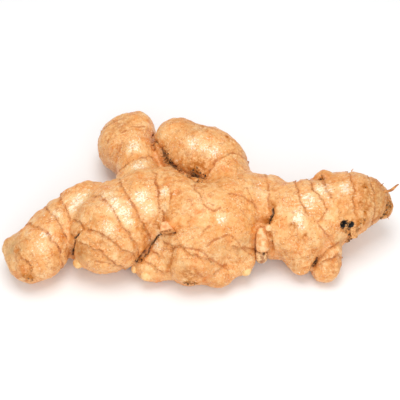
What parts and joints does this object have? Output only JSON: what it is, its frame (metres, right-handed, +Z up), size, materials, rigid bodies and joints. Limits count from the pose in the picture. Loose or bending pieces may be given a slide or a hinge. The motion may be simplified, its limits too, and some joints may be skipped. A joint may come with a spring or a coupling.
{
  "type": "ginger root",
  "caption": "Whole hand of fresh ginger: a knobbly rhizome with short ringed fingers branching from a thick stock, lying on its side",
  "frame": {"origin": "middle of the rhizome's length and breadth, on the surface that it lies on", "axes": "+X along its length, towards the end with the dry rootlet; +Y towards the two long back fingers; +Z up"},
  "size_m": [0.1786, 0.0964, 0.0381],
  "materials": {
    "skin": "thin dry tan skin with a soft sheen, orange-brown rings and pale buds"
  },
  "bodies": {
    "root": {"rhizome": "skin"}
  },
  "joints": []
}
